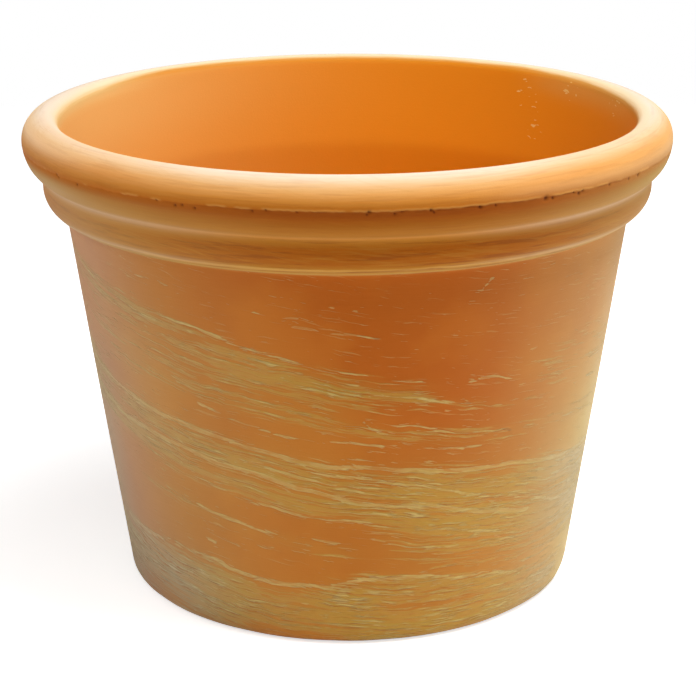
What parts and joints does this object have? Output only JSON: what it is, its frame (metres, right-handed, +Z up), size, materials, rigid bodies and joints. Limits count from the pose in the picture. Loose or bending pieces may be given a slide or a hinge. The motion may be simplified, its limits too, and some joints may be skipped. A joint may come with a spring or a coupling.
{
  "type": "flower pot",
  "caption": "Round tapered terracotta flower pot with a thick rolled rim, a half-round bead below it and a drainage hole in the floor.",
  "frame": {"origin": "middle of the ground that the pot stands on, under the drainage hole", "axes": "+Z up along the axis that the pot was turned on; X and Y are equal, and the slip's streaks seen in the picture face -Y"},
  "size_m": [0.3499, 0.35, 0.26],
  "materials": {
    "terracotta": "unglazed fired clay, turned smooth, brushed with a thin cream slip in sweeping streaks"
  },
  "bodies": {
    "root": {"pot": "terracotta"}
  },
  "joints": []
}
